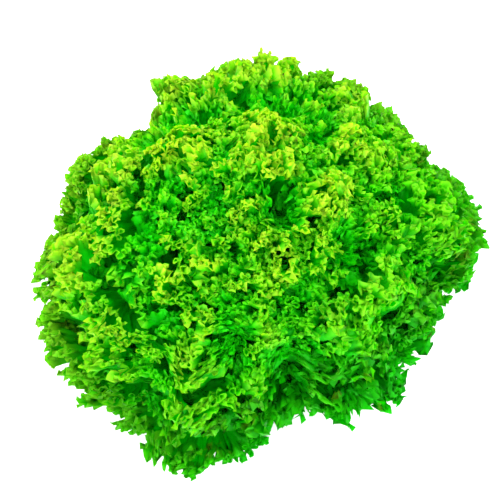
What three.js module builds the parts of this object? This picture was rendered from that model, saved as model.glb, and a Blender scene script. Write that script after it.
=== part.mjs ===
// A head of lollo bionda, a loose-leaf lettuce with frilled leaves, cut and standing on its stem.
// Millimetres, +Z up. The origin is the centre of the stem's cut face, which rests on the table.
// The leaves grow from the stem in one spiral, the outermost and lowest first. Each lies on a
// bowl of its own round the head's axis, and no two bowls meet, so the leaves keep clear.
import * as THREE from "three";

// Driving dimensions of the head.
const LEAVES = 48;
const GOLDEN_ANGLE = Math.PI * (3 - Math.sqrt(5));
const FIRST_AZIMUTH = THREE.MathUtils.degToRad(-108);
const OUTER_TIP_RADIUS = 130;
const HEART_TIP_RADIUS = 15;
const OUTER_TIP_Z = 0;
const HEART_TIP_Z = 132;
const TIP_AGE_POWER = 0.95;
const DOME_POWER = 0.8;

// The crown isn't round. Seen from above, it bulges or draws in at these azimuths in degrees,
// by this share of its radius, over this half width in degrees. The heart leans to one side.
const CROWN_SWELLS = [
  [8, 0.09, 20],
  [72, 0.02, 14],
  [128, -0.15, 10],
  [208, 0.06, 28],
  [250, 0.07, 10],
  [291, -0.18, 14],
];
const HEART_LEAN = 16;

// The outer leaves sag under their own weight, by this much at this distance from the axis.
const SAG_DEPTH = 56;
const SAG_RADIUS = 135;
const SAG_POWER = 2.7;
const SAG_AGE_POWER = 3;

// The stem, from its cut face to its growing tip.
const STEM_CUT_RADIUS = 17;
const STEM_WIDEST_RADIUS = 20;
const STEM_WIDEST_Z = 9;
const STEM_TIP_RADIUS = 5;
const STEM_TIP_Z = 46;
const STEM_SIDES = 32;
const JOINT_GAP = 0.3;

// One leaf, cut into a grid of columns across and rows from the stem to the edge. The rows
// crowd towards the edge, where the leaf turns up and ruffles.
const COLUMNS = 14;
const ROWS = 5;
const ROW_CROWDING = 1.5;
const OUTER_BLADE_THICKNESS = 1;
const HEART_BLADE_THICKNESS = 0.5;
const OUTER_RIB_THICKNESS = 3.2;
const HEART_RIB_THICKNESS = 0.9;
const RIB_HALF_WIDTH = 0.3;
const BASE_HALF_ANGLE = THREE.MathUtils.degToRad(22);
const OUTER_HALF_ANGLE = THREE.MathUtils.degToRad(66);
const HEART_HALF_ANGLE = THREE.MathUtils.degToRad(96);
const SHOULDER_CUT = 0.14;
const SHOULDER_POWER = 2.6;
const OUTER_RUFFLE = 2.2;
const HEART_RUFFLE = 0.2;
const EDGE_LIFT = 4;
const EDGE_LIFT_POWER = 9;

const mix = THREE.MathUtils.lerp;

// A repeatable value from -1 to 1 for leaf number i, so that no two leaves are alike.
function vary(i, salt) {
  const wave = Math.sin(i * 12.9898 + salt * 78.233) * 43758.5453;
  return 2 * (wave - Math.floor(wave)) - 1;
}

// The facts of leaf i. Its age runs from 0, the outermost, to 1, the heart. The tips lie on a
// dome, and each leaf's slope takes it from the stem to its tip on the dome.
function leafFacts(i) {
  const age = i / (LEAVES - 1);
  const climb = (Math.PI / 2) * age ** TIP_AGE_POWER;
  const tipRadius = mix(HEART_TIP_RADIUS, OUTER_TIP_RADIUS, Math.cos(climb));
  const tipZ = mix(OUTER_TIP_Z, HEART_TIP_Z, Math.sin(climb) ** DOME_POWER);
  const baseRadius = mix(STEM_WIDEST_RADIUS, STEM_TIP_RADIUS, age);
  const baseZ = mix(STEM_WIDEST_Z, STEM_TIP_Z, age ** 0.9);
  const sagDepth = SAG_DEPTH * (1 - age) ** SAG_AGE_POWER;
  const tipSag = sagDepth * (tipRadius / SAG_RADIUS) ** SAG_POWER;
  const halfAngle = mix(OUTER_HALF_ANGLE, HEART_HALF_ANGLE, age ** 1.2);
  return {
    azimuth: FIRST_AZIMUTH + i * GOLDEN_ANGLE,
    baseRadius,
    baseZ,
    slope: (tipZ + tipSag - baseZ) / (tipRadius - baseRadius),
    sagDepth,
    tipRadius: tipRadius * (1 + 0.05 * vary(i, 1)),
    halfAngle: halfAngle * (1 + 0.06 * vary(i, 2)),
    ruffle: mix(OUTER_RUFFLE, HEART_RUFFLE, age ** 0.6),
    lift: EDGE_LIFT * (1 - age) ** 2,
    bladeThickness: mix(OUTER_BLADE_THICKNESS, HEART_BLADE_THICKNESS, age),
    ribThickness: mix(OUTER_RIB_THICKNESS, HEART_RIB_THICKNESS, age),
  };
}

// Moves a point of a round, upright head to its place in this one.
function grownUneven(radius, azimuth, z) {
  let swell = 0;
  for (const [toward, amount, halfWidth] of CROWN_SWELLS) {
    const turn = Math.cos(azimuth - THREE.MathUtils.degToRad(toward)) - 1;
    swell += amount * Math.exp(turn / THREE.MathUtils.degToRad(halfWidth) ** 2);
  }
  const r = radius * (1 + swell * (radius / OUTER_TIP_RADIUS) ** 2);
  const lean = HEART_LEAN * (z / HEART_TIP_Z) ** 2;
  return new THREE.Vector3(r * Math.cos(azimuth) + lean, r * Math.sin(azimuth), z);
}

// A point of the leaf. across runs from -1 to 1, along from 0 at the stem to 1 at the edge,
// and face is 1 on the inner face and -1 on the outer one.
function leafPoint(leaf, across, along, face) {
  const start = leaf.baseRadius + JOINT_GAP + leaf.ribThickness / 2;
  const shoulder = 1 - SHOULDER_CUT * Math.abs(across) ** SHOULDER_POWER;
  const r = mix(start, leaf.tipRadius, along * shoulder);
  const sag = leaf.sagDepth * (r / SAG_RADIUS) ** SAG_POWER;
  const z = leaf.baseZ + leaf.slope * (r - leaf.baseRadius) - sag;
  const tangent = leaf.slope - (SAG_POWER * sag) / r;
  const spread = mix(BASE_HALF_ANGLE, leaf.halfAngle, along ** 0.8);
  const azimuth = leaf.azimuth + across * spread;
  const rib = Math.exp(-((across / RIB_HALF_WIDTH) ** 2)) * (1 - along);
  const thickness = mix(leaf.bladeThickness, leaf.ribThickness, rib);
  const fold = leaf.ruffle * along ** 3 * Math.cos((Math.PI * COLUMNS * across) / 2);
  const offset = fold + leaf.lift * along ** EDGE_LIFT_POWER + (face * thickness) / 2;
  const tilt = Math.hypot(1, tangent);
  const radius = r - (offset * tangent) / tilt;
  return grownUneven(radius, azimuth, z + offset / tilt);
}

function leafGeometry(leaf) {
  const geometry = new THREE.BoxGeometry(2, 2, 2, COLUMNS, ROWS, 1);
  const position = geometry.getAttribute("position");
  for (let k = 0; k < position.count; k++) {
    const along = 1 - ((1 - position.getY(k)) / 2) ** ROW_CROWDING;
    const p = leafPoint(leaf, -position.getX(k), along, position.getZ(k));
    position.setXYZ(k, p.x, p.y, p.z);
  }
  geometry.deleteAttribute("uv");
  geometry.computeVertexNormals();
  return geometry;
}

function stemGeometry() {
  const side = new THREE.CatmullRomCurve3([
    new THREE.Vector3(STEM_CUT_RADIUS, 0, 0),
    new THREE.Vector3(STEM_WIDEST_RADIUS - 0.6, STEM_WIDEST_Z * 0.55, 0),
    new THREE.Vector3(mix(STEM_WIDEST_RADIUS, STEM_TIP_RADIUS, 0.08), mix(STEM_WIDEST_Z, STEM_TIP_Z, 0.1), 0),
    new THREE.Vector3(mix(STEM_WIDEST_RADIUS, STEM_TIP_RADIUS, 0.55), mix(STEM_WIDEST_Z, STEM_TIP_Z, 0.58), 0),
    new THREE.Vector3(STEM_TIP_RADIUS * 0.8, STEM_TIP_Z - 2, 0),
  ]);
  const profile = [new THREE.Vector2(0, 0)];
  for (const p of side.getPoints(12)) profile.push(new THREE.Vector2(p.x, p.y));
  profile.push(new THREE.Vector2(0, STEM_TIP_Z));
  const geometry = new THREE.LatheGeometry(profile, STEM_SIDES);
  geometry.rotateX(Math.PI / 2);
  const position = geometry.getAttribute("position");
  for (let k = 0; k < position.count; k++) {
    position.setX(k, position.getX(k) + HEART_LEAN * (position.getZ(k) / HEART_TIP_Z) ** 2);
  }
  return geometry;
}

// Materials: pale stem, deep green outer leaves and yellower leaves towards the heart.
const STEM_COLOUR = new THREE.Color(0.78, 0.84, 0.55);
const OUTER_COLOUR = new THREE.Color(0.16, 0.55, 0.04);
const HEART_COLOUR = new THREE.Color(0.55, 0.8, 0.08);

function leafMaterial(age) {
  return new THREE.MeshStandardMaterial({
    color: OUTER_COLOUR.clone().lerp(HEART_COLOUR, age),
    roughness: 0.5,
    metalness: 0,
    side: THREE.DoubleSide,
  });
}

// A leaf's name tells its ring, from the outside in, and its place in the ring.
const RINGS = [
  ["outer", 12],
  ["middle", 14],
  ["inner", 13],
  ["heart", 9],
];

function leafName(i) {
  let place = i;
  for (const [ring, count] of RINGS) {
    if (place < count) return `${ring}_leaf_${String(place + 1).padStart(2, "0")}`;
    place -= count;
  }
  throw new Error("the rings hold fewer leaves than the head");
}

const head = new THREE.Group();

const stem = new THREE.Mesh(
  stemGeometry(),
  new THREE.MeshStandardMaterial({ color: STEM_COLOUR, roughness: 0.55, metalness: 0 }),
);
stem.name = "stem";
head.add(stem);

for (let i = 0; i < LEAVES; i++) {
  const leaf = new THREE.Mesh(leafGeometry(leafFacts(i)), leafMaterial(i / (LEAVES - 1)));
  leaf.name = leafName(i);
  head.add(leaf);
}

export default head;
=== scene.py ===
import math

import bpy
import numpy as np
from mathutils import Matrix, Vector


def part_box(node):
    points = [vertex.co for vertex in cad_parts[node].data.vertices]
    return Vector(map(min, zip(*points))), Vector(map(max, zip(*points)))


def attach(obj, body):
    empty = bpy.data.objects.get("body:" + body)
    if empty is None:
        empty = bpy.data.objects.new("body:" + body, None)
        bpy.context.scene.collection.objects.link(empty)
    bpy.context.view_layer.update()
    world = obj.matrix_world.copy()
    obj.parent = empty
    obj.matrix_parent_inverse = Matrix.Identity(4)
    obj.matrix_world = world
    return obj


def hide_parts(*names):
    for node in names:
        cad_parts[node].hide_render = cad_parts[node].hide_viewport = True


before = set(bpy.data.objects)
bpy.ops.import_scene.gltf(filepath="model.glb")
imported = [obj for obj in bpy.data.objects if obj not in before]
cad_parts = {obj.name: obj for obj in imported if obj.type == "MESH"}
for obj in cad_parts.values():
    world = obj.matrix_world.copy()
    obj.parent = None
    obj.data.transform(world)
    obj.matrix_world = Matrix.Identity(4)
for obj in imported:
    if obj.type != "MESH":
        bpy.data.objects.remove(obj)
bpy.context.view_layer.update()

# ---------------------------------------------------------------------------------------
# Stem. A short, fleshy, pale stem, cut straight across where the head was taken from its
# root. The head stands on this cut face, and every leaf grows from the stem's side.
# ---------------------------------------------------------------------------------------
STEM_WIDEST_RADIUS = 0.020
STEM_WIDEST_Z = 0.009
STEM_TIP_RADIUS = 0.005
STEM_TIP_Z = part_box("stem")[1].z
STEM_SIDES = 96
STEM_RINGS = 60

# The stem's skin as shares of its height and the radius there, from the cut face to the tip.
STEM_CUT_RADIUS = 0.017
STEM_PROFILE = [(0, STEM_CUT_RADIUS), (0.11, 0.0194), (0.28, 0.0188), (0.66, 0.01175), (0.96, 0.004)]
STEM_PROFILE += [(1, 0.0003)]

# The stem isn't quite round: it has three blunt corners.
STEM_CORNERS = 3
STEM_CORNER_TURN = 0.4
STEM_CORNER_SHARE = 0.025

# Rings on the cut face, from a small one at its middle. The knife left shallow marks across
# it, given by their depth and by how fast the wave that makes them turns, in radians a metre.
CUT_MIDDLE_RADIUS = 0.0006
CUT_RINGS = np.linspace(0.12, 0.97, 12)
KNIFE_MARK_DEPTH = 0.00012
KNIFE_MARK_WAVE = 5200

# The stem swells under the foot of each leaf. The leaves grow from it in one spiral, and
# their feet lie closer together towards its tip.
FOOT_SWELL = 0.0009
FOOT_HALF_WIDTH = 0.006
FOOT_HALF_HEIGHT = 0.0018
LEAVES = sum("_leaf_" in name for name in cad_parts)
GOLDEN_ANGLE = math.pi * (3 - math.sqrt(5))
FIRST_AZIMUTH = math.radians(-108)
BASE_RISE_POWER = 0.9

# The head leans by this much at the height of the heart's tips.
HEART_LEAN = 0.016
HEART_TIP_Z = 0.132

# The cut face ends just above the table. Inside it lies a ring of darker vessels, and it
# browns raggedly from its rim inwards and in blotches. Fibres run up the skin, long and thin.
CUT_ENDS_FROM = 0.0002
CUT_ENDS_AT = 0.0012
VESSEL_RING_RADIUS = 0.0125
VESSEL_RING_WIDTH = 0.0009
VESSEL_BROWNING = 0.5
BROWN_FROM_RADIUS = 0.0145
BROWN_TO_RADIUS = 0.0185
BROWN_RAGGEDNESS = 0.003
BLOTCH_BROWNING = 0.35
FIBRE_STRETCH = (1.0, 1.0, 0.12)
STEM_GREEN = (0.40, 0.52, 0.16, 1)
STEM_PALE_GREEN = (0.72, 0.78, 0.48, 1)
CUT_CREAM = (0.80, 0.78, 0.55, 1)
CUT_BROWN = (0.30, 0.12, 0.035, 1)


def mix(start, end, share):
    return start + (end - start) * share


def leaf_base(age):
    """Where on the stem a leaf of this age grows: its distance from the axis and its height."""
    height = mix(STEM_WIDEST_Z, STEM_TIP_Z, age**BASE_RISE_POWER)
    return mix(STEM_WIDEST_RADIUS, STEM_TIP_RADIUS, age), height


class Wire:
    """One output of a node. Arithmetic on wires adds the nodes that work it out."""

    def __init__(self, tree, socket):
        self.tree = tree
        self.socket = socket

    @staticmethod
    def node(tree, kind, settings=None, sockets=None, out=0):
        """Adds a node of this kind, with its settings and the values or wires of its sockets."""
        made = tree.nodes.new(kind)
        for name, value in (settings or {}).items():
            setattr(made, name, value)
        for name, value in (sockets or {}).items():
            for each in value if isinstance(value, list) else [value]:
                if isinstance(each, Wire):
                    tree.links.new(each.socket, made.inputs[name])
                else:
                    made.inputs[name].default_value = each
        return Wire(tree, made.outputs[out]) if len(made.outputs) else None

    def math(self, operation, *others):
        sockets = dict(enumerate((self, *others)))
        return Wire.node(self.tree, "ShaderNodeMath", {"operation": operation}, sockets)

    def vector(self, operation, *others, out=0):
        sockets = dict(enumerate((self, *others)))
        return Wire.node(self.tree, "ShaderNodeVectorMath", {"operation": operation}, sockets, out)

    @staticmethod
    def is_vector(value):
        return isinstance(value, tuple) or (isinstance(value, Wire) and value.socket.type == "VECTOR")

    def combine(self, operation, first, second):
        if not (Wire.is_vector(first) or Wire.is_vector(second)):
            return Wire.node(self.tree, "ShaderNodeMath", {"operation": operation}, {0: first, 1: second})
        sockets = {0: first, 1: second}
        if not (Wire.is_vector(first) and Wire.is_vector(second)):
            scaled, factor = (first, second) if Wire.is_vector(first) else (second, first)
            operation = "SCALE"
            sockets = {0: scaled, "Scale": factor}
        return Wire.node(self.tree, "ShaderNodeVectorMath", {"operation": operation}, sockets)

    def __add__(self, other):
        return self.combine("ADD", self, other)

    def __radd__(self, other):
        return self.combine("ADD", other, self)

    def __sub__(self, other):
        return self.combine("SUBTRACT", self, other)

    def __rsub__(self, other):
        return self.combine("SUBTRACT", other, self)

    def __mul__(self, other):
        return self.combine("MULTIPLY", self, other)

    def __rmul__(self, other):
        return self.combine("MULTIPLY", other, self)

    def __truediv__(self, other):
        return self.combine("DIVIDE", self, other)

    def __pow__(self, other):
        return self.combine("POWER", self, other)

    def smooth(self, low, high):
        """Rises from 0 to 1, with a soft start and end, as the value goes from low to high."""
        settings = {"interpolation_type": "SMOOTHSTEP"}
        sockets = {"Value": self, "From Min": low, "From Max": high}
        return Wire.node(self.tree, "ShaderNodeMapRange", settings, sockets)

    def falling(self, depth):
        """1 where the value is 0, and less the more of these depths it is away."""
        return (self / depth * -1.0).math("EXPONENT")

    def bell(self, half_width):
        """1 where the value is 0, and near 0 at two half widths to either side."""
        return ((self / half_width) ** 2 * -1.0).math("EXPONENT")

    def split(self):
        """The x, y and z of a vector."""
        apart = Wire.node(self.tree, "ShaderNodeSeparateXYZ", None, {0: self})
        return [Wire(self.tree, output) for output in apart.socket.node.outputs]

    def noise(self, scale, detail):
        """Clouds from 0 to 1 at a place."""
        sockets = {"Vector": self, "Scale": scale, "Detail": detail}
        return Wire.node(self.tree, "ShaderNodeTexNoise", None, sockets)

    def blend(self, first, second):
        """The first colour where the value is 0, the second where it is 1."""
        sockets = {0: self, 6: first, 7: second}
        return Wire.node(self.tree, "ShaderNodeMix", {"data_type": "RGBA"}, sockets, out=2)


def stem_rings():
    """The radius and height of each ring of the stem's skin, from the middle of the cut face up."""
    shares, radii = zip(*STEM_PROFILE)
    rings = [(CUT_MIDDLE_RADIUS, 0)]
    rings += [(STEM_CUT_RADIUS * share, 0) for share in CUT_RINGS]
    for share in np.linspace(0, 1, STEM_RINGS):
        rings.append((float(np.interp(share, shares, radii)), float(share * STEM_TIP_Z)))
    return rings


def foot_swell(azimuth, z):
    """How far the stem stands out here because leaves grow from it close by."""
    swell = 0
    for i in range(LEAVES):
        radius, height = leaf_base(i / (LEAVES - 1))
        away = math.remainder(azimuth - FIRST_AZIMUTH - i * GOLDEN_ANGLE, 2 * math.pi)
        near = (away * radius / FOOT_HALF_WIDTH) ** 2 + ((z - height) / FOOT_HALF_HEIGHT) ** 2
        swell += FOOT_SWELL * math.exp(-near)
    return swell


def stem_point(radius, z, azimuth):
    """A point of the stem's skin: swollen by the leaves, or with the knife's marks on the cut face."""
    wide = radius * (1 + STEM_CORNER_SHARE * math.cos(STEM_CORNERS * azimuth + STEM_CORNER_TURN))
    lean = HEART_LEAN * (z / HEART_TIP_Z) ** 2
    if z > 0:
        wide += foot_swell(azimuth, z)
    else:
        z += KNIFE_MARK_DEPTH * (1 + math.sin(radius * math.cos(azimuth) * KNIFE_MARK_WAVE))
    return wide * math.cos(azimuth) + lean, wide * math.sin(azimuth), z


def stem_mesh():
    """The whole skin of the stem, closed by a face at the middle of the cut and one at the tip."""
    rings = stem_rings()
    azimuths = [2 * math.pi / STEM_SIDES * side for side in range(STEM_SIDES)]
    points = [stem_point(radius, z, azimuth) for radius, z in rings for azimuth in azimuths]
    faces = [tuple(reversed(range(STEM_SIDES)))]
    for ring in range(len(rings) - 1):
        low, high = ring * STEM_SIDES, (ring + 1) * STEM_SIDES
        for side in range(STEM_SIDES):
            after = (side + 1) % STEM_SIDES
            faces.append((low + side, low + after, high + after, high + side))
    faces.append(tuple((len(rings) - 1) * STEM_SIDES + side for side in range(STEM_SIDES)))
    mesh = bpy.data.meshes.new("stem_skin")
    mesh.from_pydata(points, [], faces)
    mesh.shade_smooth()
    return mesh


def bare_material(name):
    """A material with an empty tree, and that tree."""
    material = bpy.data.materials.new(name)
    material.use_nodes = True
    material.node_tree.nodes.clear()
    return material, material.node_tree


def stem_finish():
    """Pale green skin with lengthwise fibres, and a creamy cut face that has begun to brown."""
    material, tree = bare_material("stem")
    place = Wire.node(tree, "ShaderNodeTexCoord", out="Object")
    x, y, z = place.split()
    radius = (x * x + y * y).math("SQRT")
    fibres = (place * FIBRE_STRETCH).noise(900.0, 4.0)
    blotches = place.noise(160.0, 3.0)
    cut = 1 - z.smooth(CUT_ENDS_FROM, CUT_ENDS_AT)
    vessels = (radius - VESSEL_RING_RADIUS).bell(VESSEL_RING_WIDTH)
    browned = cut * (radius + BROWN_RAGGEDNESS * blotches).smooth(BROWN_FROM_RADIUS, BROWN_TO_RADIUS)
    browned = browned + VESSEL_BROWNING * cut * vessels * blotches
    browned = browned + cut * blotches.smooth(0.5, 0.8) * BLOTCH_BROWNING
    skin = fibres.blend(STEM_GREEN, STEM_PALE_GREEN)
    colour = browned.math("MINIMUM", 1.0).blend(cut.blend(skin, CUT_CREAM), CUT_BROWN)
    sockets = {"Strength": 0.5, "Distance": 0.0006, "Height": fibres + blotches}
    relief = Wire.node(tree, "ShaderNodeBump", None, sockets)
    sockets = {"Base Color": colour, "Roughness": 0.5, "Normal": relief}
    shader = Wire.node(tree, "ShaderNodeBsdfPrincipled", None, sockets)
    Wire.node(tree, "ShaderNodeOutputMaterial", None, {"Surface": shader})
    return material


def add_piece(name, mesh, node):
    """Puts a finished mesh in the scene as the piece that stands for one node of the frame."""
    piece = bpy.data.objects.new(name, mesh)
    bpy.context.scene.collection.objects.link(piece)
    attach(piece, "root")
    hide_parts(node)
    return piece


cut_stem = stem_mesh()
cut_stem.materials.append(stem_finish())
add_piece("stem_cut", cut_stem, "stem")

# ---------------------------------------------------------------------------------------
# Leaf. One thin blade on a thick pale midrib that fans out into the blade. The edge grew
# far longer than the leaf that carries it, so it folds, curls and crimps into a frill.
# ---------------------------------------------------------------------------------------
BASE_HALF_ANGLE = math.radians(22)
OUTER_HALF_ANGLE = math.radians(66)
HEART_HALF_ANGLE = math.radians(96)
HALF_ANGLE_AGE_POWER = 1.2
SPREAD_POWER = 0.8
SHOULDER_CUT = 0.14
SHOULDER_POWER = 2.6

# The tips lie on a dome. The older a leaf is, the more it sags under its own weight.
OUTER_TIP_RADIUS = 0.130
HEART_TIP_RADIUS = 0.015
TIP_AGE_POWER = 0.95
DOME_POWER = 0.8
SAG_DEPTH = 0.056
SAG_RADIUS = 0.135
SAG_POWER = 2.7
SAG_AGE_POWER = 3

# The frill stands out past the blade, so the blade takes up this share of the head.
FRILL_ROOM = 0.945

# Rows of the blade from its edge to its midrib: how far out each lies, and how many times
# the columns are halved there. The edge needs the most.
BLADE_ROWS = [(1, 0), (0.975, 1), (0.94, 1), (0.895, 2), (0.835, 2), (0.755, 3), (0.65, 3)]
BLADE_ROWS += [(0.5, 3), (0.32, 3), (0.12, 3)]

# The blade's outline is a rounded fan, and its midrib runs this far up it. The columns thin
# out where the edge is smooth, towards the leaf's foot.
MARGIN_ROUNDNESS = 3.4
MARGIN_STEPS = 4000
RIB_START = 0.02
RIB_REACH = 0.56
RIB_ROUNDNESS = 0.9
TYPICAL_LENGTH = 0.1
TYPICAL_HALF_ANGLE = math.radians(55)
SMOOTH_EDGE_COLUMNS = 0.3
FRILL_START = 0.15
FRILL_RISE = 0.4

# Columns at the edge lie this far apart, less towards the heart. Their number goes in steps,
# so that leaves of about one size share a blade. A leaf's sides add this share of its length
# to its edge.
COLUMN_PITCH = 0.000162
OUTER_PITCH = 1.08
HEART_PITCH = 0.88
COLUMN_STEP = 64
SIDES_SHARE = 1.2

# The crown isn't round. Each entry is an azimuth in degrees, the share of its radius by which
# it bulges or draws in there, and the half width of that in degrees.
CROWN_SWELLS = [(8, 0.09, 20), (72, 0.02, 14), (128, -0.15, 10), (208, 0.06, 28), (250, 0.07, 10)]
CROWN_SWELLS += [(291, -0.18, 14)]

# Handling has pushed the frill in and out too, given in the same way. This rises from nothing
# to its full amount between these shares of the outermost leaves' reach.
FRILL_SWELLS = [
    (-2, 0.07, 5), (31, -0.035, 14), (41, -0.06, 6), (51, 0.03, 5), (64, -0.03, 10), (89, 0.055, 8),
    (103, -0.05, 7), (118, 0.09, 6), (131, -0.08, 5), (146, -0.05, 18), (161, 0.04, 6), (173, -0.09, 9),
    (201, 0.10, 16), (220, 0.03, 6), (238, -0.05, 6), (251, 0.085, 5), (262, -0.04, 6), (289, -0.09, 5),
    (302, 0.13, 7), (321, -0.05, 5), (342, -0.06, 8),
]
SWELL_FROM = 0.3
SWELL_FULL = 1.0

# The leaves crowd into clumps with hollows between them. Each is given by its place seen from
# above, its height over the even crown, and its half width. Smaller bumps lie over them all.
# Both stand out from the head's core, and rise from nothing to their full height between
# these shares of the outermost leaves' reach.
CLUMPS = [
    (-0.060, 0.052, -0.016, 0.013),
    (-0.034, 0.065, -0.016, 0.013),
    (-0.004, 0.072, -0.010, 0.012),
    (0.024, 0.073, -0.016, 0.012),
    (0.045, 0.054, -0.012, 0.011),
    (0.020, -0.010, -0.024, 0.010),
    (0.058, -0.026, -0.013, 0.014),
    (0.091, 0.004, -0.004, 0.012),
    (0.061, -0.089, -0.009, 0.014),
    (0.020, -0.096, -0.018, 0.013),
    (-0.012, -0.086, -0.015, 0.013),
    (-0.052, -0.106, -0.004, 0.014),
    (-0.089, -0.060, -0.004, 0.014),
    (-0.040, 0.038, 0.009, 0.016),
    (0.008, 0.044, 0.010, 0.016),
    (0.064, 0.045, 0.006, 0.018),
    (0.046, -0.002, 0.007, 0.010),
    (0.024, -0.034, 0.002, 0.016),
    (-0.040, -0.045, 0.005, 0.020),
    (0.075, -0.052, 0.006, 0.018),
    (0.034, -0.064, -0.004, 0.015),
    (-0.035, -0.080, 0.006, 0.016),
]
HEAD_CORE = (0.008, 0.0, 0.02)
CLUMPS_FROM = 0.35
CLUMPS_FULL = 0.9
BUMP_COUNT = 3.6
BUMP_DEPTH = 0.006
BUMP_MIDDLE = 0.30

# The outline has shallow lobes, neither even in length nor in depth. The blade's rows lie a
# little nearer its midrib than their shares say. The frill begins above the leaf's foot,
# between these shares of the leaf's length.
LOBE_DRIFT = 0.5
LOBE_VARIATION = 0.6
ROW_POWER = 1.15
FRILL_FROM = 0.10
FRILL_FULL = 0.45

# The edge turns up unevenly. No ruffle is as deep as the last, and each swings out and in to
# a slower beat than its own.
LIFT_BEATS = 9
LIFT_VARIATION = 0.5
RUFFLE_VARIATION = 0.35
SWING_BEAT = 0.63

# The blade crumples everywhere, and most at its edge.
CRUMPLE_SCALE = 120.0
CRUMPLE_FADE = 0.022
BLADE_CRUMPLE = 0.45

# Teeth at the very edge: narrow points with wide notches between them, unevenly long.
TOOTH_DRIFT = 0.4
TOOTH_VARIATION = 0.8
TOOTH_SHARPNESS = 1.5
TOOTH_FADE = 0.0022
NOTCH_DEPTH = 0.25

# The foot of each leaf is sunk this far into the stem.
FOOT_DEPTH = 0.0015

# A leaf is longer or shorter, and broader or narrower, than its age alone would make it, by
# up to these shares.
LENGTH_SPREAD = 0.05
BREADTH_SPREAD = 0.06

# The blade is thinnest at its edge, and its midrib stands proud of its outer face.
BLADE_THICKNESS = 0.00045
EDGE_TAPER = 0.003
RIB_HALF_WIDTH = 0.16
RIB_TAPER = 1.3
WELD = 0.00001

# A leaf that would reach below the table lies along it, this far above it.
TABLE_GAP = 0.0003
TABLE_BEND = 0.004


def fan_outline(angles):
    """Places along the leaf's outline: how far to the side each lies, and how far up the leaf."""
    across = np.sign(np.sin(angles)) * np.abs(np.sin(angles)) ** (2 / MARGIN_ROUNDNESS)
    along = np.abs(np.cos(angles)) ** (2 / MARGIN_ROUNDNESS)
    return across, along


def margin_angles(columns):
    """Where along its outline each column ends. They crowd together where the edge is frilled."""
    angle = np.linspace(-math.pi / 2, math.pi / 2, MARGIN_STEPS + 1)
    across, along = fan_outline(angle)
    shoulder = 1 - SHOULDER_CUT * np.abs(across) ** SHOULDER_POWER
    radius = STEM_WIDEST_RADIUS + TYPICAL_LENGTH * along * shoulder
    spread = across * (BASE_HALF_ANGLE + (TYPICAL_HALF_ANGLE - BASE_HALF_ANGLE) * along**SPREAD_POWER)
    steps = np.hypot(np.diff(radius * np.sin(spread)), np.diff(radius * np.cos(spread)))
    length = np.concatenate([[0], np.cumsum(steps)])
    middle = (along[1:] + along[:-1]) / 2
    frilled = np.clip((middle - FRILL_START) / FRILL_RISE, 0, 1)
    crowding = SMOOTH_EDGE_COLUMNS + (1 - SMOOTH_EDGE_COLUMNS) * frilled
    crowded = np.concatenate([[0], np.cumsum(steps * crowding)])
    even = np.linspace(0, crowded[-1], columns + 1)
    return np.interp(even, crowded, angle), np.interp(even, crowded, length / length[-1])


def blade_vertices(columns):
    """Each vertex's column, how far out it lies, and the first vertex of each row."""
    column, share, starts = [], [], []
    for reach, halvings in BLADE_ROWS:
        row = range(0, columns + 1, 2**halvings)
        starts.append(len(column))
        column += row
        share += [reach] * len(row)
    spine = range(0, columns // 2 + 1, 2 ** BLADE_ROWS[-1][1])
    starts.append(len(column))
    column += spine
    share += [0] * len(spine)
    return np.array(column), np.array(share), starts


def blade_faces(columns, starts):
    """The blade's faces, and which of them lie past the midrib, where both sides share it."""
    faces, mirrored = [], []
    for row in range(len(BLADE_ROWS) - 1):
        outer, inner = starts[row], starts[row + 1]
        halved = BLADE_ROWS[row][1] != BLADE_ROWS[row + 1][1]
        for j in range(columns >> BLADE_ROWS[row + 1][1]):
            if halved:
                middle = outer + 2 * j + 1
                faces.append((middle, middle + 1, inner + j + 1, inner + j, middle - 1))
            else:
                faces.append((outer + j + 1, inner + j + 1, inner + j, outer + j))
    last, spine = starts[-2], starts[-1]
    cells = columns >> BLADE_ROWS[-1][1]
    for j in range(cells):
        mirrored += [len(faces)] if j >= cells // 2 else []
        near, far = min(j, cells - j), min(j + 1, cells - j - 1)
        faces.append((last + j + 1, spine + far, spine + near, last + j))
    return faces, mirrored


def map_blade(mesh, columns, column, share, spine, mirrored):
    """Lays the blade out flat: across it in u, and from its midrib to its edge in v."""
    corners = np.zeros(len(mesh.loops), np.int32)
    mesh.loops.foreach_get("vertex_index", corners)
    u = column[corners] / columns
    for face in mirrored:
        for corner in mesh.polygons[face].loop_indices:
            if corners[corner] >= spine:
                u[corner] = 1 - u[corner]
    v = 1 - (1 - share[corners]) ** 0.5
    layer = mesh.uv_layers.new(name="OFBake")
    layer.uv.foreach_set("vector", np.stack([u, 0.5 * v], 1).astype(np.float32).ravel())


def flat_blade(columns):
    """The blade as a flat sheet. Each vertex carries its place on the leaf as attributes."""
    angles, runs = margin_angles(columns)
    side, top = fan_outline(angles)
    rib = RIB_START + (RIB_REACH - RIB_START) * np.abs(np.cos(angles)) ** RIB_ROUNDNESS
    column, share, starts = blade_vertices(columns)
    faces, mirrored = blade_faces(columns, starts)
    mesh = bpy.data.meshes.new("flat_blade")
    mesh.from_pydata([(s, t, 0) for s, t in zip(side[column], top[column])], [], faces)
    values = {
        "side": np.where(share == 0, 0, side[column]),
        "top": np.where(share == 0, 1, top[column]),
        "rib": rib[column],
        "run": runs[column],
        "share": share,
        "edge": np.isin(column, (0, columns)) | (share == 1),
    }
    for name, value in values.items():
        layer = mesh.attributes.new(name, "FLOAT", "POINT")
        layer.data.foreach_set("value", value.astype(np.float32))
    mesh.attributes.new("margin", "INT", "POINT").data.foreach_set("value", column.astype(np.int32))
    map_blade(mesh, columns, column, share, starts[-1], mirrored)
    return mesh


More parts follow.
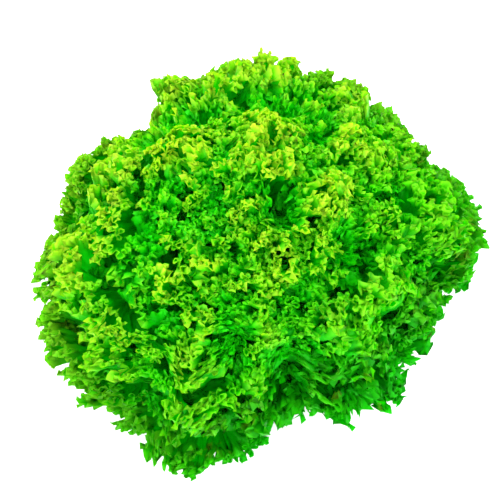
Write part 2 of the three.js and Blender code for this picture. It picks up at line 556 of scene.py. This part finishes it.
LEAF_SIZES = [
    "Azimuth", "Base Radius", "Base Height", "Slope", "Sag", "Tip Radius", "Half Angle", "Columns", "Seed",
    "Lobes", "Lobe Depth", "Lift", "Lift Fade", "Fold Length", "Fold Depth", "Fold Fade", "Curl Length",
    "Curl Depth", "Curl Fade", "Crumple", "Crimp Length", "Crimp Depth", "Crimp Fade", "Tooth Length",
    "Tooth Depth", "Rib Thickness",
]


class LeafTree:
    """The nodes that turn the flat blade into a leaf of the head, given its sizes."""

    def __init__(self):
        self.tree = bpy.data.node_groups.new("lettuce_leaf", "GeometryNodeTree")
        plan = self.tree.interface
        plan.new_socket("Geometry", in_out="INPUT", socket_type="NodeSocketGeometry")
        for name in LEAF_SIZES:
            plan.new_socket(name, in_out="INPUT", socket_type="NodeSocketFloat")
        plan.new_socket("Material", in_out="INPUT", socket_type="NodeSocketMaterial")
        plan.new_socket("Geometry", in_out="OUTPUT", socket_type="NodeSocketGeometry")
        given = self.add("NodeGroupInput").socket.node
        self.size = {name: Wire(self.tree, given.outputs[name]) for name in LEAF_SIZES}
        self.seed = self.size["Seed"]
        self.position = self.add("GeometryNodeInputPosition")
        self.normal = self.add("GeometryNodeInputNormal")
        self.index = self.add("GeometryNodeInputIndex")
        self.margin = self.named("margin", "INT")
        self.inset = self.named("inset")
        self.geometry = Wire(self.tree, given.outputs["Geometry"])
        across, along = self.lay_on_bowl()
        self.ruffle_edge()
        self.cut_teeth()
        self.gather_clumps()
        self.push_frill()
        self.rest_on_table()
        self.thicken(across, along)
        self.hand_over(Wire(self.tree, given.outputs["Material"]))

    def add(self, kind, settings=None, sockets=None, out=0):
        return Wire.node(self.tree, kind, settings, sockets, out)

    def named(self, name, kind="FLOAT"):
        return self.add("GeometryNodeInputNamedAttribute", {"data_type": kind}, {"Name": name})

    def at(self, place, value, kind="FLOAT_VECTOR"):
        """The value at another point, such as the one at the edge of this point's column."""
        settings = {"data_type": kind, "domain": "POINT"}
        return self.add("GeometryNodeFieldAtIndex", settings, {"Value": value, "Index": place})

    def point(self, x, y, z):
        return self.add("ShaderNodeCombineXYZ", None, {0: x, 1: y, 2: z})

    def wander(self, place, scale, detail=1.0):
        """A smooth random walk from about -1 to 1 along a line.

        The seed in its place, times a number of its own, makes it another walk on each leaf."""
        sockets = {"W": place, "Scale": scale, "Detail": detail}
        return (self.add("ShaderNodeTexNoise", {"noise_dimensions": "1D"}, sockets) - 0.5) * 2

    def place(self, position):
        """Puts every point of the leaf at a new place."""
        sockets = {"Geometry": self.geometry, "Position": position}
        self.geometry = self.add("GeometryNodeSetPosition", None, sockets)

    def shift(self, offset):
        """Moves every point of the leaf by an offset."""
        sockets = {"Geometry": self.geometry, "Offset": offset}
        self.geometry = self.add("GeometryNodeSetPosition", None, sockets)

    def store(self, name, value, kind="FLOAT", domain="POINT"):
        """Keeps a value of each point or corner under a name."""
        settings = {"data_type": kind, "domain": domain}
        sockets = {"Geometry": self.geometry, "Name": name, "Value": value}
        self.geometry = self.add("GeometryNodeStoreNamedAttribute", settings, sockets)

    def lay_on_bowl(self):
        """The outline has shallow lobes, and the blade lies on its bowl round the head's axis."""
        size = self.size
        run, share = self.named("run") * size["Lobes"], self.named("share")
        beat = run + LOBE_DRIFT * self.wander(run + self.seed * 5.7, 0.7)
        lobe = size["Lobe Depth"] * (0.5 - 0.5 * (beat * (2 * math.pi)).math("COSINE"))
        reach = share * (1 - lobe * (1 + LOBE_VARIATION * self.wander(run + self.seed * 9.1, 0.5)))
        across = self.named("side") * reach
        rib = self.named("rib")
        along = rib + (self.named("top") - rib) * reach**ROW_POWER
        shoulder = 1 - SHOULDER_CUT * across.math("ABSOLUTE") ** SHOULDER_POWER
        radius = size["Base Radius"] + (size["Tip Radius"] - size["Base Radius"]) * along * shoulder
        sag = size["Sag"] * (radius / SAG_RADIUS) ** SAG_POWER
        height = size["Base Height"] + size["Slope"] * (radius - size["Base Radius"]) - sag
        spread = BASE_HALF_ANGLE + (size["Half Angle"] - BASE_HALF_ANGLE) * along**SPREAD_POWER
        azimuth = size["Azimuth"] + across * spread
        swell = 0
        for toward, amount, half_width in CROWN_SWELLS:
            away = (azimuth - math.radians(toward)).math("COSINE") - 1
            swell = swell + amount * (away * (1 / math.radians(half_width) ** 2)).math("EXPONENT")
        swollen = radius * (1 + swell * (radius / OUTER_TIP_RADIUS) ** 2)
        lean = HEART_LEAN * (height / HEART_TIP_Z) ** 2
        x, y = swollen * azimuth.math("COSINE") + lean, swollen * azimuth.math("SINE")
        self.place(self.point(x, y, height))
        away = self.position.vector("DISTANCE", self.at(self.margin, self.position), out="Value")
        self.store("inset", away)
        frill = self.at(self.margin, along, "FLOAT").smooth(FRILL_FROM, FRILL_FULL)
        self.store("frill", frill)
        return across, along

    def fading(self, depth):
        """1 at a frilled edge, less the further in a point lies, and 0 at the leaf's foot."""
        return self.named("frill") * self.inset.falling(depth)

    def measure_edge(self):
        """Stores how far along the edge each column lies, in the shape that it has by now."""
        step = self.position.vector("DISTANCE", self.at(self.index - 1, self.position), out="Value")
        half = self.size["Columns"] / 2
        on_edge = self.index.math("COMPARE", half + 0.5, half)
        settings = {"data_type": "FLOAT", "domain": "POINT"}
        total = self.add("GeometryNodeAccumulateField", settings, {0: step * on_edge})
        self.store("length", self.at(self.margin, total, "FLOAT"))

    def outward(self):
        """The direction in which the blade ends at the edge of this column."""
        row_in = self.at(self.index + self.size["Columns"] + 1, self.position)
        return self.at(self.margin, (self.position - row_in).vector("NORMALIZE"))

    def ruffle(self, kind, loop, swing, drift, salt):
        """One size of ruffle: it goes up and down, loops over itself, and swings out and in."""
        self.measure_edge()
        beat = self.named("length") / self.size[f"{kind} Length"]
        phase = (beat + drift * self.wander(beat + self.seed * 7.31 + salt, 0.45)) * (2 * math.pi)
        strength = 1 + RUFFLE_VARIATION * self.wander(beat + self.seed * 3.17 + salt * 2, 0.6)
        amount = self.size[f"{kind} Depth"] * strength * self.fading(self.size[f"{kind} Fade"])
        ahead, behind = (self.at(self.index + step, self.position) for step in (1, -1))
        upright = self.normal * (amount * phase.math("SINE"))
        looped = (ahead - behind).vector("NORMALIZE") * (amount * loop * (phase * 2).math("SINE"))
        swung = self.outward() * (amount * swing * (phase * SWING_BEAT + salt).math("SINE"))
        self.shift(upright - looped + swung)

    def crumple(self):
        """Pushes the blade about at random, the same way in places that lie close together."""
        sockets = {"Vector": self.position, "W": self.seed, "Scale": CRUMPLE_SCALE}
        sockets |= {"Detail": 1.0, "Roughness": 0.8}
        wild = self.add("ShaderNodeTexNoise", {"noise_dimensions": "4D"}, sockets, out="Color")
        wild = wild.vector("SUBTRACT", (0.5, 0.5, 0.5))
        self.shift(wild * (self.size["Crumple"] * (BLADE_CRUMPLE + self.fading(CRUMPLE_FADE))))

    def ruffle_edge(self):
        """The edge turns up, then ruffles in broad folds, tighter curls and the finest crimps."""
        run = self.named("run") * LIFT_BEATS
        rise = 1 + LIFT_VARIATION * self.wander(run + self.seed * 2.3, 0.8)
        lift = self.size["Lift"] * rise * self.fading(self.size["Lift Fade"])
        self.shift(self.normal * lift)
        self.ruffle("Fold", loop=0.25, swing=0.10, drift=0.35, salt=1.0)
        self.ruffle("Curl", loop=0.35, swing=0.15, drift=0.30, salt=2.0)
        self.crumple()
        self.ruffle("Crimp", loop=0.36, swing=0.10, drift=0.30, salt=3.0)

    def cut_teeth(self):
        """The very edge is cut into small teeth."""
        self.measure_edge()
        length = self.named("length")
        drift = TOOTH_DRIFT * self.wander(length + self.seed, 120.0, 0.0)
        beat = length / self.size["Tooth Length"] + drift
        tooth = (1 - (beat * math.pi).math("SINE").math("ABSOLUTE")) ** TOOTH_SHARPNESS
        height = 1 + TOOTH_VARIATION * self.wander(length + 3 + self.seed, 90.0, 0.0)
        tooth = tooth * height - NOTCH_DEPTH
        self.shift(self.outward() * (self.size["Tooth Depth"] * tooth * self.fading(TOOTH_FADE)))

    def gather_clumps(self):
        """The whole crown gathers into clumps, with hollows between them."""
        from_core = self.position - HEAD_CORE
        outwards = from_core.vector("NORMALIZE")
        sockets = {"Vector": outwards, "Scale": BUMP_COUNT, "Smoothness": 0.3, "Randomness": 1.0}
        bump = self.add("ShaderNodeTexVoronoi", {"feature": "SMOOTH_F1"}, sockets)
        swell = BUMP_DEPTH * (BUMP_MIDDLE - bump)
        for x, y, height, half_width in CLUMPS:
            flat = (self.position - (x, y, 0.0)) * (1.0, 1.0, 0.0)
            swell = swell + height * flat.vector("LENGTH", out="Value").bell(half_width)
        outermost = from_core.vector("LENGTH", out="Value") / OUTER_TIP_RADIUS
        self.shift(outwards * (swell * outermost.smooth(CLUMPS_FROM, CLUMPS_FULL)))

    def push_frill(self):
        """The frill bulges and draws in, seen from above."""
        flat = self.position * (1.0, 1.0, 0.0)
        swell = 0
        for toward, amount, half_width in FRILL_SWELLS:
            aim = (math.cos(math.radians(toward)), math.sin(math.radians(toward)), 0.0)
            away = flat.vector("NORMALIZE").vector("DOT_PRODUCT", aim, out="Value") - 1
            swell = swell + amount * (away * (1 / math.radians(half_width) ** 2)).math("EXPONENT")
        outermost = flat.vector("LENGTH", out="Value") / OUTER_TIP_RADIUS
        self.shift(flat * (swell * outermost.smooth(SWELL_FROM, SWELL_FULL)))

    def rest_on_table(self):
        """What would reach below the table lies along it."""
        x, y, z = self.position.split()
        above = 0.5 * (z + (z * z + TABLE_BEND**2).math("SQRT"))
        self.place(self.point(x, y, TABLE_GAP + above))

    def thicken(self, across, along):
        """Adds the outer face, which stands off from the inner one and meets it at the edge."""
        self.store("midrib", across.bell(RIB_HALF_WIDTH) * (1 - along) ** RIB_TAPER)
        inner_face = self.geometry
        edge = self.named("edge")
        rib = self.named("midrib") * self.size["Rib Thickness"]
        thick = (BLADE_THICKNESS * self.inset.smooth(0.0, EDGE_TAPER) + rib) * (1 - edge)
        self.shift(self.normal * thick * -1.0)
        self.geometry = self.add("GeometryNodeFlipFaces", None, {"Mesh": self.geometry})
        beside = self.named("OFBake", "FLOAT_VECTOR") + (0.0, 0.5, 0.0)
        self.store("OFBake", beside, "FLOAT2", "CORNER")
        both = self.add("GeometryNodeJoinGeometry", None, {0: [inner_face, self.geometry]})
        sockets = {"Geometry": both, "Selection": edge.math("GREATER_THAN", 0.5), "Distance": WELD}
        closed = self.add("GeometryNodeMergeByDistance", None, sockets)
        smooth = self.add("GeometryNodeSetShadeSmooth", None, {"Geometry": closed})
        sockets = {"Geometry": smooth, "Selection": edge.math("GREATER_THAN", 0.99), "Shade Smooth": False}
        self.geometry = self.add("GeometryNodeSetShadeSmooth", {"domain": "EDGE"}, sockets)

    def hand_over(self, material):
        """Ends the tree with a real mesh in the leaf's material."""
        real = self.add("GeometryNodeRealizeInstances", None, {"Geometry": self.geometry})
        sockets = {"Geometry": real, "Material": material}
        finished = self.add("GeometryNodeSetMaterial", None, sockets)
        self.add("NodeGroupOutput", None, {"Geometry": finished})


# How far in from its edge a leaf is tinted by its fringe and its rim, whose brightness is partly the
# leaf's own paler margin and partly a painted highlight on the edge; and how far in the light that
# comes through it takes the fringe's painted-light colour. Of the light that leaves it, the glow's
# share came through it and the rest off its skin.
FRINGE_DEPTH = 0.0026
RIM_DEPTH = 0.0013
RIM_STRENGTH = 0.95
GLOW_DEPTH = 0.0021
GLOW_SHARE = 0.6

# A tired leaf browns in patches, first near its rim. Every leaf is mottled a little with the
# deep green of its blade.
BROWNING_DEPTH = 0.004
RIM_BROWNING = 0.09
MOTTLING = 0.5
MIDRIB_GREEN = (0.46, 0.62, 0.20, 1)
LEAF_BROWN = (0.30, 0.13, 0.010, 1)


def leaf_finish(name, blade, fringe, rim, spots):
    """A leaf's skin: deep green in the blade, yellower in the frill and brightest along its rim, partly the
    leaf's own paler margin and partly a painted highlight along its edge.

    Each is two colours, a painted-shade copy and a painted-light copy, mixed by the leaf's painted light.
    Spots is how much of the rim has begun to brown."""
    material, tree = bare_material(name)

    def carried(attribute):
        return Wire.node(tree, "ShaderNodeAttribute", {"attribute_name": attribute}, out="Fac")

    def opaque(paints):
        return [(*paint, 1) for paint in paints]

    inset, light, midrib = carried("inset"), carried("light"), carried("midrib")
    place = Wire.node(tree, "ShaderNodeTexCoord", out="Object")
    patches = place.noise(70.0, 3.0)
    # Painted light and shade: each part takes its shaded colour where the light attribute is 0 and its lit,
    # yellower colour where it is 1.
    colour = light.blend(*opaque(blade))
    colour = inset.falling(FRINGE_DEPTH).blend(colour, light.blend(*opaque(fringe)))
    colour = (inset.falling(RIM_DEPTH) * RIM_STRENGTH).blend(colour, light.blend(*opaque(rim)))
    colour = midrib.smooth(0.12, 0.75).blend(colour, MIDRIB_GREEN)
    colour = ((patches - 0.5).math("ABSOLUTE") * MOTTLING).blend(colour, opaque(blade)[0])
    tired = (patches + RIM_BROWNING * inset.falling(BROWNING_DEPTH)).smooth(0.70, 0.76)
    colour = (tired * spots).blend(colour, LEAF_BROWN)
    sockets = {"Strength": 0.35, "Distance": 0.002, "Height": place.noise(170.0, 2.0)}
    blisters = Wire.node(tree, "ShaderNodeBump", None, sockets)
    sockets = {"Base Color": colour, "Roughness": 0.5, "Specular IOR Level": 0.2, "Normal": blisters}
    skin = Wire.node(tree, "ShaderNodeBsdfPrincipled", None, sockets)
    # The light that comes through the leaf near its edge is tinted with the fringe's painted-light colour
    # where the light attribute is high, and with its painted-shade colour elsewhere.
    deep, bright = (
        Wire.node(tree, "ShaderNodeBsdfTranslucent", None, {"Color": paint}) for paint in opaque(fringe)
    )
    sockets = {0: light * inset.falling(GLOW_DEPTH), 1: deep, 2: bright}
    glow = Wire.node(tree, "ShaderNodeMixShader", None, sockets)
    both = Wire.node(tree, "ShaderNodeMixShader", None, {0: GLOW_SHARE, 1: skin, 2: glow})
    Wire.node(tree, "ShaderNodeOutputMaterial", None, {"Surface": both})
    return material


def vary(i, salt):
    """A repeatable value from -1 to 1 for leaf number i, so that no two leaves are alike."""
    wave = math.sin(i * 12.9898 + salt * 78.233) * 43758.5453
    return 2 * (wave - math.floor(wave)) - 1


def leaf_sizes(i, reach):
    """The sizes of leaf number i, from 0 for the outermost. Its age runs from 0 to 1 for the heart."""
    age = i / (LEAVES - 1)
    base_radius, base_height = leaf_base(age)
    climb = math.pi / 2 * age**TIP_AGE_POWER
    tip = FRILL_ROOM * mix(HEART_TIP_RADIUS, OUTER_TIP_RADIUS, math.cos(climb))
    tip_height = FRILL_ROOM * HEART_TIP_Z * math.sin(climb) ** DOME_POWER
    sag = SAG_DEPTH * (1 - age) ** SAG_AGE_POWER
    tip_sag = sag * (tip / SAG_RADIUS) ** SAG_POWER
    half_angle = mix(OUTER_HALF_ANGLE, HEART_HALF_ANGLE, age**HALF_ANGLE_AGE_POWER)
    edge_length = 2 * tip * half_angle + SIDES_SHARE * (tip - base_radius)
    pitch = COLUMN_PITCH * mix(OUTER_PITCH, HEART_PITCH, age)
    return {
        "Azimuth": FIRST_AZIMUTH + i * GOLDEN_ANGLE,
        "Base Radius": base_radius - FOOT_DEPTH,
        "Base Height": base_height,
        "Slope": (tip_height + tip_sag - base_height) / (tip - base_radius),
        "Sag": sag,
        "Tip Radius": tip * (1 + LENGTH_SPREAD * vary(i, 1)) * reach,
        "Half Angle": half_angle * (1 + BREADTH_SPREAD * vary(i, 2)),
        "Columns": float(COLUMN_STEP * max(3, round(edge_length / pitch / COLUMN_STEP))),
        "Seed": i * 1.37 + 0.5,
        "Lobes": 7.0,
        "Lobe Depth": 0.12,
        "Lift": 0.024 * (1 - age) ** 0.9,
        "Lift Fade": 0.014,
        "Fold Length": 0.018,
        "Fold Depth": mix(0.0060, 0.0075, age),
        "Fold Fade": mix(0.018, 0.012, age),
        "Curl Length": mix(0.0105, 0.0070, age),
        "Curl Depth": mix(0.0034, 0.0024, age),
        "Curl Fade": mix(0.0080, 0.0070, age),
        "Crumple": 0.0080,
        "Crimp Length": mix(0.0054, 0.0042, age),
        "Crimp Depth": mix(0.0026, 0.0019, age),
        "Crimp Fade": 0.0043,
        "Tooth Length": 0.0065,
        "Tooth Depth": 0.0005,
        "Rib Thickness": 0.0034,
    }


growth = LeafTree().tree
size_sockets = {item.name: item.identifier for item in growth.interface.items_tree if item.in_out == "INPUT"}
SPENT = ("side", "top", "rib", "run", "share", "edge", "margin", "length", "frill")
blades = {}
leaves = []


def grow_leaf(sizes):
    """Makes one leaf's mesh from the flat blade and the leaf's sizes."""
    columns = int(sizes["Columns"])
    if columns not in blades:
        blades[columns] = flat_blade(columns)
    maker = bpy.data.objects.new("maker", blades[columns])
    bpy.context.scene.collection.objects.link(maker)
    modifier = maker.modifiers.new("leaf", "NODES")
    modifier.node_group = growth
    for name, value in sizes.items():
        modifier[size_sockets[name]] = value
    graph = bpy.context.evaluated_depsgraph_get()
    grown = maker.evaluated_get(graph)
    mesh = bpy.data.meshes.new_from_object(grown, preserve_all_data_layers=True, depsgraph=graph)
    bpy.data.objects.remove(maker)
    for name in SPENT:
        if name in mesh.attributes:
            mesh.attributes.remove(mesh.attributes[name])
    return mesh


def grow_ring(ring, material, reaches=None, own_sizes=None):
    """Makes a ring of leaves, the outermost first, numbered on from the last ring.

    Reaches and own sizes hold what makes some of them unlike the others, by their numbers."""
    for node in sorted(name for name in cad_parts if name.startswith(f"{ring}_leaf_")):
        i = len(leaves)
        sizes = leaf_sizes(i, (reaches or {}).get(i, 1.0)) | {"Material": material}
        mesh = grow_leaf(sizes | (own_sizes or {}).get(i, {}))
        leaves.append(add_piece(f"{node}_blade", mesh, node))


# ---------------------------------------------------------------------------------------
# Outer leaves. The oldest and broadest, they grow lowest on the stem and sag to the table, and
# their frill stands up from the blade. They are the darkest: partly their own older, deeper green,
# and partly painted shade on the head's low flanks. Three have long teeth, and the rims have
# begun to brown.
# ---------------------------------------------------------------------------------------
OUTER_REACHES = {2: 0.97, 3: 1.02, 5: 0.95, 9: 1.01, 10: 0.93}
LONG_TEETH = {
    "Tooth Length": 0.0100,
    "Tooth Depth": 0.0040,
    "Curl Fade": 0.020,
    "Crimp Fade": 0.010,
    "Lift": 0.020,
    "Crumple": 0.016,
    "Lobe Depth": 0.2,
}

# Each pair: the painted-shade colour first, the painted-light colour second. These are darker than the rings
# above, partly as painted shade.
outer_green = leaf_finish(
    "outer_leaf_green",
    blade=((0.0, 0.40, 0.0), (0.02, 0.44, 0.0)),
    fringe=((0.001, 0.56, 0.0), (0.28, 0.70, 0.001)),
    rim=((0.02, 0.64, 0.002), (0.44, 0.78, 0.030)),
    spots=0.4,
)
grow_ring("outer", outer_green, OUTER_REACHES, {3: LONG_TEETH, 8: LONG_TEETH, 11: LONG_TEETH})

# ---------------------------------------------------------------------------------------
# Middle leaves. Full grown and green, they grow half way up the stem and make the flanks of
# the head. A few reach further out than their neighbours and fill the gaps between them.
# ---------------------------------------------------------------------------------------
MIDDLE_REACHES = {13: 1.08, 18: 1.06, 23: 1.075}

# Each pair: the painted-shade colour first, the painted-light colour second.
middle_green = leaf_finish(
    "middle_leaf_green",
    blade=((0.0, 0.48, 0.0), (0.04, 0.54, 0.001)),
    fringe=((0.001, 0.74, 0.0), (0.49, 0.80, 0.002)),
    rim=((0.03, 0.80, 0.002), (0.57, 0.82, 0.035)),
    spots=0.1,
)
grow_ring("middle", middle_green, MIDDLE_REACHES)

# ---------------------------------------------------------------------------------------
# Inner leaves. They grow higher up the stem, stand steeper and make the crown. They are
# yellower and brighter, partly their own paler tone and partly painted light on the top of the
# crown, with none gone brown.
# ---------------------------------------------------------------------------------------
# Each pair: the painted-shade colour first, the painted-light colour second.
inner_green = leaf_finish(
    "inner_leaf_green",
    blade=((0.0, 0.52, 0.0), (0.06, 0.60, 0.001)),
    fringe=((0.001, 0.76, 0.0), (0.57, 0.82, 0.002)),
    rim=((0.03, 0.82, 0.002), (0.64, 0.84, 0.035)),
    spots=0.0,
)
grow_ring("inner", inner_green)

# ---------------------------------------------------------------------------------------
# Heart leaves. The youngest, small and tender, grow from the stem's tip. They stand upright
# round it and leave a gap between them.
# ---------------------------------------------------------------------------------------
# Each pair: the painted-shade colour first, the painted-light colour second.
heart_green = leaf_finish(
    "heart_leaf_green",
    blade=((0.0, 0.50, 0.0), (0.06, 0.58, 0.001)),
    fringe=((0.001, 0.76, 0.0), (0.55, 0.82, 0.002)),
    rim=((0.03, 0.82, 0.002), (0.62, 0.84, 0.035)),
    spots=0.0,
)
grow_ring("heart", heart_green)

# ---------------------------------------------------------------------------------------
# Painted light and shade on the leaves. Points at the crown's skin get the lit, yellower copies of
# their colours, most of all on its upper left and back, and points below the skin get the shaded,
# greener copies.
# ---------------------------------------------------------------------------------------
# The crown's skin is mapped by direction from the head's core, in cells of so many radians,
# and evened out over this many cells to each side. The map has a border of empty cells.
SKIN_CELL = 0.045
SKIN_BORDER = 7
SKIN_SOFTNESS = 4

# Painted shade: a point this far below the skin or further gets only the shaded colours. Part of
# the painted light is even all round, and part is painted on one side, most on points that lie
# towards it from the core.
SHADE_DEPTH = 0.015
SUNNY_SIDE = (-0.40, 0.46, 0.79)
EVEN_LIGHT = 0.38
SUN_LIGHT = 0.90


def seen_from_core(place, cells):
    """How far from the head's core each point lies, and where on a round map of directions."""
    distance = np.linalg.norm(place, axis=1)
    angle = np.arccos(np.clip(place[:, 2] / distance, -1, 1))
    flat = np.hypot(place[:, 0], place[:, 1]) + 1e-9
    return distance, place[:, :2] / flat[:, None] * (angle / SKIN_CELL)[:, None] + cells / 2


def crown_skin(places, cells):
    """How far out the leaves reach in each direction, evened out over its neighbours."""
    skin = np.zeros((cells, cells))
    for place in places:
        distance, spots = seen_from_core(place, cells)
        cell = spots.astype(int)
        np.maximum.at(skin, (cell[:, 0], cell[:, 1]), distance)
    skin = np.max([np.roll(skin, (i, j), (0, 1)) for i in (-1, 0, 1) for j in (-1, 0, 1)], 0)
    for axis in (0, 1, 0, 1):
        shifts = range(-SKIN_SOFTNESS, SKIN_SOFTNESS + 1)
        skin = np.mean([np.roll(skin, shift, axis) for shift in shifts], 0)
    return skin


def skin_over(skin, spots):
    """The skin's distance from the core at each of these spots, between the map's cells."""
    low = np.floor(spots - 0.5).astype(int)
    part = spots - 0.5 - low
    level = 0
    for i in (0, 1):
        for j in (0, 1):
            weight = np.abs(1 - i - part[:, 0]) * np.abs(1 - j - part[:, 1])
            level = level + weight * skin[low[:, 0] + i, low[:, 1] + j]
    return level


def paint_light_and_shade(pieces):
    """Stores on each leaf the painted light of every point: 1 at the crown's skin, 0 deep below in painted
    shade, and more on the sunny side.
    """
    places = []
    for piece in pieces:
        place = np.empty(len(piece.data.vertices) * 3, np.float32)
        piece.data.vertices.foreach_get("co", place)
        places.append(place.reshape(-1, 3) - np.array(HEAD_CORE, np.float32))
    cells = int(2 * math.pi / SKIN_CELL) + 2 * SKIN_BORDER
    skin = crown_skin(places, cells)
    for piece, place in zip(pieces, places):
        distance, spots = seen_from_core(place, cells)
        # Painted shade: the deeper a point lies below the crown's skin, the more shaded its colour.
        light = np.clip(1 - (skin_over(skin, spots) - distance) / SHADE_DEPTH, 0, 1)
        light = light * light * (3 - 2 * light)
        # Painted light on one side: points lying towards the sunny side from the core get lighter, yellower
        # colours.
        facing = (place / distance[:, None]) @ np.array(SUNNY_SIDE)
        light = np.clip(light * (EVEN_LIGHT + SUN_LIGHT * facing), 0, 1)
        layer = piece.data.attributes.new("light", "FLOAT", "POINT")
        layer.data.foreach_set("value", light.astype(np.float32))


paint_light_and_shade(leaves)

# ---------------------------------------------------------------------------------------
# Table, light and camera. A white table in a bright, even room, with one large soft lamp
# behind the head on the left. The camera looks steeply down on the crown.
# ---------------------------------------------------------------------------------------
TABLE_WIDTH = 6
TABLE_WHITE = (0.9, 0.9, 0.9, 1)
ROOM_WHITE = (1, 1, 1, 1)
ROOM_BRIGHTNESS = 3.74
LAMP_PLACE = (-0.75, 0.6, 0.95)
LAMP_SIZE = 1.2
LAMP_POWER = 5
HEAD_MIDDLE = Vector((0, -0.006, 0.058))
VIEW_ELEVATION = math.radians(68)
VIEW_DISTANCE = 1.1
VIEW_WIDTH = 0.300
SENSOR_WIDTH = 36

bpy.ops.mesh.primitive_plane_add(size=TABLE_WIDTH)
table = bpy.context.object
table.name = "table"
table_paint = bpy.data.materials.new("table")
table_paint.use_nodes = True
table_paint.node_tree.nodes["Principled BSDF"].inputs["Base Color"].default_value = TABLE_WHITE
table.data.materials.append(table_paint)

room = bpy.data.worlds.new("room")
room.use_nodes = True
room.node_tree.nodes["Background"].inputs["Color"].default_value = ROOM_WHITE
room.node_tree.nodes["Background"].inputs["Strength"].default_value = ROOM_BRIGHTNESS
bpy.context.scene.world = room

lamp_light = bpy.data.lights.new("key_light", "AREA")
lamp_light.size = LAMP_SIZE
lamp_light.energy = LAMP_POWER
lamp = bpy.data.objects.new("key_light", lamp_light)
bpy.context.scene.collection.objects.link(lamp)
lamp.location = LAMP_PLACE
lamp.rotation_euler = (HEAD_MIDDLE - Vector(LAMP_PLACE)).to_track_quat("-Z", "Y").to_euler()

lens = bpy.data.cameras.new("camera")
lens.sensor_width = SENSOR_WIDTH
lens.lens = SENSOR_WIDTH * VIEW_DISTANCE / VIEW_WIDTH
camera = bpy.data.objects.new("camera", lens)
bpy.context.scene.collection.objects.link(camera)
back = Vector((0, -math.cos(VIEW_ELEVATION), math.sin(VIEW_ELEVATION)))
camera.location = HEAD_MIDDLE + back * VIEW_DISTANCE
camera.rotation_euler = (-back).to_track_quat("-Z", "Y").to_euler()
bpy.context.scene.camera = camera
bpy.context.scene.view_settings.view_transform = "Standard"
